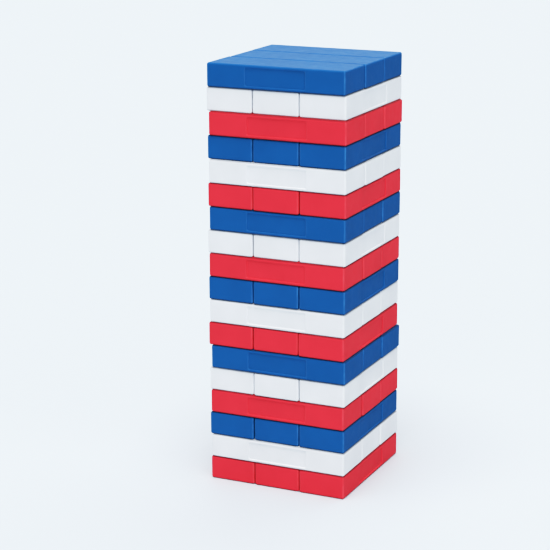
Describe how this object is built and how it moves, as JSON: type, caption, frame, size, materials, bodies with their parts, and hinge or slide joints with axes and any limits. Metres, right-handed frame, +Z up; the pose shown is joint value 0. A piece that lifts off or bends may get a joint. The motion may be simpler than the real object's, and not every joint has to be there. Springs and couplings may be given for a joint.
{
  "type": "giant tumbling tower",
  "caption": "Square tower of long hollow plastic blocks laid side by side, every layer across the one below, in repeating red, white and blue; blocks draw out endwise.",
  "frame": {"origin": "on the ground, under the middle of the tower's box", "axes": "+Z up the tower, -Y the front, which shows the block ends of the bottom layer, +X to the right seen from the front"},
  "size_m": [0.188, 0.1874, 0.54],
  "materials": {
    "red_plastic": "satin moulded plastic, red",
    "white_plastic": "satin moulded plastic, cool white",
    "blue_plastic": "satin moulded plastic, royal blue"
  },
  "bodies": {
    "layer_01_left": {"layer_01_left_block": "red_plastic"},
    "layer_01_middle": {"layer_01_middle_block": "red_plastic"},
    "layer_01_right": {"layer_01_right_block": "red_plastic"},
    "layer_02_front": {"layer_02_front_block": "white_plastic"},
    "layer_02_middle": {"layer_02_middle_block": "white_plastic"},
    "layer_02_back": {"layer_02_back_block": "white_plastic"},
    "layer_03_left": {"layer_03_left_block": "blue_plastic"},
    "layer_03_middle": {"layer_03_middle_block": "blue_plastic"},
    "layer_03_right": {"layer_03_right_block": "blue_plastic"},
    "layer_04_front": {"layer_04_front_block": "red_plastic"},
    "layer_04_middle": {"layer_04_middle_block": "red_plastic"},
    "layer_04_back": {"layer_04_back_block": "red_plastic"},
    "layer_05_left": {"layer_05_left_block": "white_plastic"},
    "layer_05_middle": {"layer_05_middle_block": "white_plastic"},
    "layer_05_right": {"layer_05_right_block": "white_plastic"},
    "layer_06_front": {"layer_06_front_block": "blue_plastic"},
    "layer_06_middle": {"layer_06_middle_block": "blue_plastic"},
    "layer_06_back": {"layer_06_back_block": "blue_plastic"},
    "layer_07_left": {"layer_07_left_block": "red_plastic"},
    "layer_07_middle": {"layer_07_middle_block": "red_plastic"},
    "layer_07_right": {"layer_07_right_block": "red_plastic"},
    "layer_08_front": {"layer_08_front_block": "white_plastic"},
    "layer_08_middle": {"layer_08_middle_block": "white_plastic"},
    "layer_08_back": {"layer_08_back_block": "white_plastic"},
    "layer_09_left": {"layer_09_left_block": "blue_plastic"},
    "layer_09_middle": {"layer_09_middle_block": "blue_plastic"},
    "layer_09_right": {"layer_09_right_block": "blue_plastic"},
    "layer_10_front": {"layer_10_front_block": "red_plastic"},
    "layer_10_middle": {"layer_10_middle_block": "red_plastic"},
    "layer_10_back": {"layer_10_back_block": "red_plastic"},
    "layer_11_left": {"layer_11_left_block": "white_plastic"},
    "layer_11_middle": {"layer_11_middle_block": "white_plastic"},
    "layer_11_right": {"layer_11_right_block": "white_plastic"},
    "layer_12_front": {"layer_12_front_block": "blue_plastic"},
    "layer_12_middle": {"layer_12_middle_block": "blue_plastic"},
    "layer_12_back": {"layer_12_back_block": "blue_plastic"},
    "layer_13_left": {"layer_13_left_block": "red_plastic"},
    "layer_13_middle": {"layer_13_middle_block": "red_plastic"},
    "layer_13_right": {"layer_13_right_block": "red_plastic"},
    "layer_14_front": {"layer_14_front_block": "white_plastic"},
    "layer_14_middle": {"layer_14_middle_block": "white_plastic"},
    "layer_14_back": {"layer_14_back_block": "white_plastic"},
    "layer_15_left": {"layer_15_left_block": "blue_plastic"},
    "layer_15_middle": {"layer_15_middle_block": "blue_plastic"},
    "layer_15_right": {"layer_15_right_block": "blue_plastic"},
    "layer_16_front": {"layer_16_front_block": "red_plastic"},
    "layer_16_middle": {"layer_16_middle_block": "red_plastic"},
    "layer_16_back": {"layer_16_back_block": "red_plastic"},
    "layer_17_left": {"layer_17_left_block": "white_plastic"},
    "layer_17_middle": {"layer_17_middle_block": "white_plastic"},
    "layer_17_right": {"layer_17_right_block": "white_plastic"},
    "layer_18_front": {"layer_18_front_block": "blue_plastic"},
    "layer_18_middle": {"layer_18_middle_block": "blue_plastic"},
    "layer_18_back": {"layer_18_back_block": "blue_plastic"}
  },
  "joints": [
    {"name": "layer_01_left_draw", "type": "slide", "parent": "layer_01_middle", "child": "layer_01_left", "axis": [0, 1, 0], "range_m": [-0.19, 0.19]},
    {"name": "layer_01_right_draw", "type": "slide", "parent": "layer_01_middle", "child": "layer_01_right", "axis": [0, 1, 0], "range_m": [-0.19, 0.19]},
    {"name": "layer_02_front_draw", "type": "slide", "parent": "layer_01_middle", "child": "layer_02_front", "axis": [1, 0, 0], "range_m": [-0.19, 0.19]},
    {"name": "layer_02_middle_draw", "type": "slide", "parent": "layer_01_middle", "child": "layer_02_middle", "axis": [1, 0, 0], "range_m": [-0.19, 0.19]},
    {"name": "layer_02_back_draw", "type": "slide", "parent": "layer_01_middle", "child": "layer_02_back", "axis": [1, 0, 0], "range_m": [-0.19, 0.19]},
    {"name": "layer_03_left_draw", "type": "slide", "parent": "layer_01_middle", "child": "layer_03_left", "axis": [0, 1, 0], "range_m": [-0.19, 0.19]},
    {"name": "layer_03_middle_draw", "type": "slide", "parent": "layer_01_middle", "child": "layer_03_middle", "axis": [0, 1, 0], "range_m": [-0.19, 0.19]},
    {"name": "layer_03_right_draw", "type": "slide", "parent": "layer_01_middle", "child": "layer_03_right", "axis": [0, 1, 0], "range_m": [-0.19, 0.19]},
    {"name": "layer_04_front_draw", "type": "slide", "parent": "layer_01_middle", "child": "layer_04_front", "axis": [1, 0, 0], "range_m": [-0.19, 0.19]},
    {"name": "layer_04_middle_draw", "type": "slide", "parent": "layer_01_middle", "child": "layer_04_middle", "axis": [1, 0, 0], "range_m": [-0.19, 0.19]},
    {"name": "layer_04_back_draw", "type": "slide", "parent": "layer_01_middle", "child": "layer_04_back", "axis": [1, 0, 0], "range_m": [-0.19, 0.19]},
    {"name": "layer_05_left_draw", "type": "slide", "parent": "layer_01_middle", "child": "layer_05_left", "axis": [0, 1, 0], "range_m": [-0.19, 0.19]},
    {"name": "layer_05_middle_draw", "type": "slide", "parent": "layer_01_middle", "child": "layer_05_middle", "axis": [0, 1, 0], "range_m": [-0.19, 0.19]},
    {"name": "layer_05_right_draw", "type": "slide", "parent": "layer_01_middle", "child": "layer_05_right", "axis": [0, 1, 0], "range_m": [-0.19, 0.19]},
    {"name": "layer_06_front_draw", "type": "slide", "parent": "layer_01_middle", "child": "layer_06_front", "axis": [1, 0, 0], "range_m": [-0.19, 0.19]},
    {"name": "layer_06_middle_draw", "type": "slide", "parent": "layer_01_middle", "child": "layer_06_middle", "axis": [1, 0, 0], "range_m": [-0.19, 0.19]},
    {"name": "layer_06_back_draw", "type": "slide", "parent": "layer_01_middle", "child": "layer_06_back", "axis": [1, 0, 0], "range_m": [-0.19, 0.19]},
    {"name": "layer_07_left_draw", "type": "slide", "parent": "layer_01_middle", "child": "layer_07_left", "axis": [0, 1, 0], "range_m": [-0.19, 0.19]},
    {"name": "layer_07_middle_draw", "type": "slide", "parent": "layer_01_middle", "child": "layer_07_middle", "axis": [0, 1, 0], "range_m": [-0.19, 0.19]},
    {"name": "layer_07_right_draw", "type": "slide", "parent": "layer_01_middle", "child": "layer_07_right", "axis": [0, 1, 0], "range_m": [-0.19, 0.19]},
    {"name": "layer_08_front_draw", "type": "slide", "parent": "layer_01_middle", "child": "layer_08_front", "axis": [1, 0, 0], "range_m": [-0.19, 0.19]},
    {"name": "layer_08_middle_draw", "type": "slide", "parent": "layer_01_middle", "child": "layer_08_middle", "axis": [1, 0, 0], "range_m": [-0.19, 0.19]},
    {"name": "layer_08_back_draw", "type": "slide", "parent": "layer_01_middle", "child": "layer_08_back", "axis": [1, 0, 0], "range_m": [-0.19, 0.19]},
    {"name": "layer_09_left_draw", "type": "slide", "parent": "layer_01_middle", "child": "layer_09_left", "axis": [0, 1, 0], "range_m": [-0.19, 0.19]},
    {"name": "layer_09_middle_draw", "type": "slide", "parent": "layer_01_middle", "child": "layer_09_middle", "axis": [0, 1, 0], "range_m": [-0.19, 0.19]},
    {"name": "layer_09_right_draw", "type": "slide", "parent": "layer_01_middle", "child": "layer_09_right", "axis": [0, 1, 0], "range_m": [-0.19, 0.19]},
    {"name": "layer_10_front_draw", "type": "slide", "parent": "layer_01_middle", "child": "layer_10_front", "axis": [1, 0, 0], "range_m": [-0.19, 0.19]},
    {"name": "layer_10_middle_draw", "type": "slide", "parent": "layer_01_middle", "child": "layer_10_middle", "axis": [1, 0, 0], "range_m": [-0.19, 0.19]},
    {"name": "layer_10_back_draw", "type": "slide", "parent": "layer_01_middle", "child": "layer_10_back", "axis": [1, 0, 0], "range_m": [-0.19, 0.19]},
    {"name": "layer_11_left_draw", "type": "slide", "parent": "layer_01_middle", "child": "layer_11_left", "axis": [0, 1, 0], "range_m": [-0.19, 0.19]},
    {"name": "layer_11_middle_draw", "type": "slide", "parent": "layer_01_middle", "child": "layer_11_middle", "axis": [0, 1, 0], "range_m": [-0.19, 0.19]},
    {"name": "layer_11_right_draw", "type": "slide", "parent": "layer_01_middle", "child": "layer_11_right", "axis": [0, 1, 0], "range_m": [-0.19, 0.19]},
    {"name": "layer_12_front_draw", "type": "slide", "parent": "layer_01_middle", "child": "layer_12_front", "axis": [1, 0, 0], "range_m": [-0.19, 0.19]},
    {"name": "layer_12_middle_draw", "type": "slide", "parent": "layer_01_middle", "child": "layer_12_middle", "axis": [1, 0, 0], "range_m": [-0.19, 0.19]},
    {"name": "layer_12_back_draw", "type": "slide", "parent": "layer_01_middle", "child": "layer_12_back", "axis": [1, 0, 0], "range_m": [-0.19, 0.19]},
    {"name": "layer_13_left_draw", "type": "slide", "parent": "layer_01_middle", "child": "layer_13_left", "axis": [0, 1, 0], "range_m": [-0.19, 0.19]},
    {"name": "layer_13_middle_draw", "type": "slide", "parent": "layer_01_middle", "child": "layer_13_middle", "axis": [0, 1, 0], "range_m": [-0.19, 0.19]},
    {"name": "layer_13_right_draw", "type": "slide", "parent": "layer_01_middle", "child": "layer_13_right", "axis": [0, 1, 0], "range_m": [-0.19, 0.19]},
    {"name": "layer_14_front_draw", "type": "slide", "parent": "layer_01_middle", "child": "layer_14_front", "axis": [1, 0, 0], "range_m": [-0.19, 0.19]},
    {"name": "layer_14_middle_draw", "type": "slide", "parent": "layer_01_middle", "child": "layer_14_middle", "axis": [1, 0, 0], "range_m": [-0.19, 0.19]},
    {"name": "layer_14_back_draw", "type": "slide", "parent": "layer_01_middle", "child": "layer_14_back", "axis": [1, 0, 0], "range_m": [-0.19, 0.19]},
    {"name": "layer_15_left_draw", "type": "slide", "parent": "layer_01_middle", "child": "layer_15_left", "axis": [0, 1, 0], "range_m": [-0.19, 0.19]},
    {"name": "layer_15_middle_draw", "type": "slide", "parent": "layer_01_middle", "child": "layer_15_middle", "axis": [0, 1, 0], "range_m": [-0.19, 0.19]},
    {"name": "layer_15_right_draw", "type": "slide", "parent": "layer_01_middle", "child": "layer_15_right", "axis": [0, 1, 0], "range_m": [-0.19, 0.19]},
    {"name": "layer_16_front_draw", "type": "slide", "parent": "layer_01_middle", "child": "layer_16_front", "axis": [1, 0, 0], "range_m": [-0.19, 0.19]},
    {"name": "layer_16_middle_draw", "type": "slide", "parent": "layer_01_middle", "child": "layer_16_middle", "axis": [1, 0, 0], "range_m": [-0.19, 0.19]},
    {"name": "layer_16_back_draw", "type": "slide", "parent": "layer_01_middle", "child": "layer_16_back", "axis": [1, 0, 0], "range_m": [-0.19, 0.19]},
    {"name": "layer_17_left_draw", "type": "slide", "parent": "layer_01_middle", "child": "layer_17_left", "axis": [0, 1, 0], "range_m": [-0.19, 0.19]},
    {"name": "layer_17_middle_draw", "type": "slide", "parent": "layer_01_middle", "child": "layer_17_middle", "axis": [0, 1, 0], "range_m": [-0.19, 0.19]},
    {"name": "layer_17_right_draw", "type": "slide", "parent": "layer_01_middle", "child": "layer_17_right", "axis": [0, 1, 0], "range_m": [-0.19, 0.19]},
    {"name": "layer_18_front_lift", "type": "slide", "parent": "layer_01_middle", "child": "layer_18_front", "axis": [0, 0, 1], "range_m": [0, 0.06]},
    {"name": "layer_18_middle_lift", "type": "slide", "parent": "layer_01_middle", "child": "layer_18_middle", "axis": [0, 0, 1], "range_m": [0, 0.06]},
    {"name": "layer_18_back_lift", "type": "slide", "parent": "layer_01_middle", "child": "layer_18_back", "axis": [0, 0, 1], "range_m": [0, 0.06]}
  ]
}
